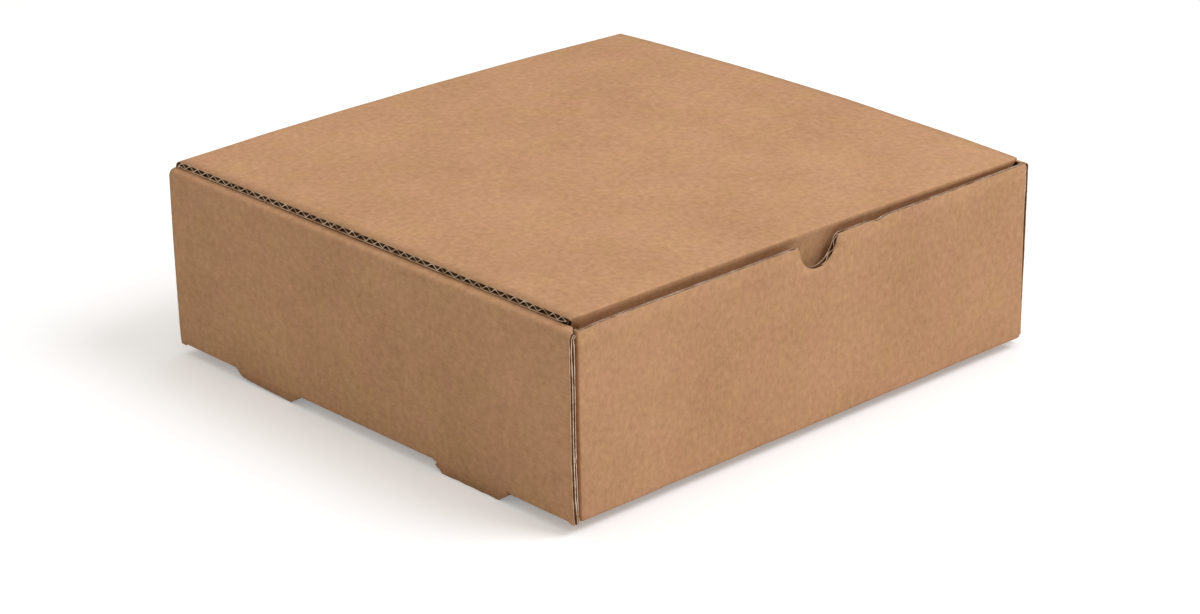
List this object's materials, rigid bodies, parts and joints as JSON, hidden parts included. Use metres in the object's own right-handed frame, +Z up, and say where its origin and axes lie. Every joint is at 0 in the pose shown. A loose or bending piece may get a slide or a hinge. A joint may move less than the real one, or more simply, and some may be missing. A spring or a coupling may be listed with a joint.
{
  "type": "literature mailer",
  "caption": "Shallow one-piece corrugated mailer box with rolled side walls, a thumb notch and a hinged lid whose tuck flap slips behind the front panel.",
  "frame": {"origin": "middle of the footprint, level with the ends of the tongues the box stands on", "axes": "+X to the right along the front panel, +Y from the front panel to the lid's hinge, +Z up"},
  "size_m": [0.282, 0.26, 0.0926],
  "materials": {
    "tray_board": "matte kraft",
    "lid_board": "matte kraft"
  },
  "bodies": {
    "tray": {"tray": "tray_board"},
    "lid": {"lid": "lid_board"}
  },
  "joints": [
    {"name": "lid_hinge", "type": "hinge", "parent": "tray", "child": "lid", "pos_m": [0, 0.12912, 0.09172], "axis": [-1, 0, 0], "range_deg": [0, 180]}
  ]
}
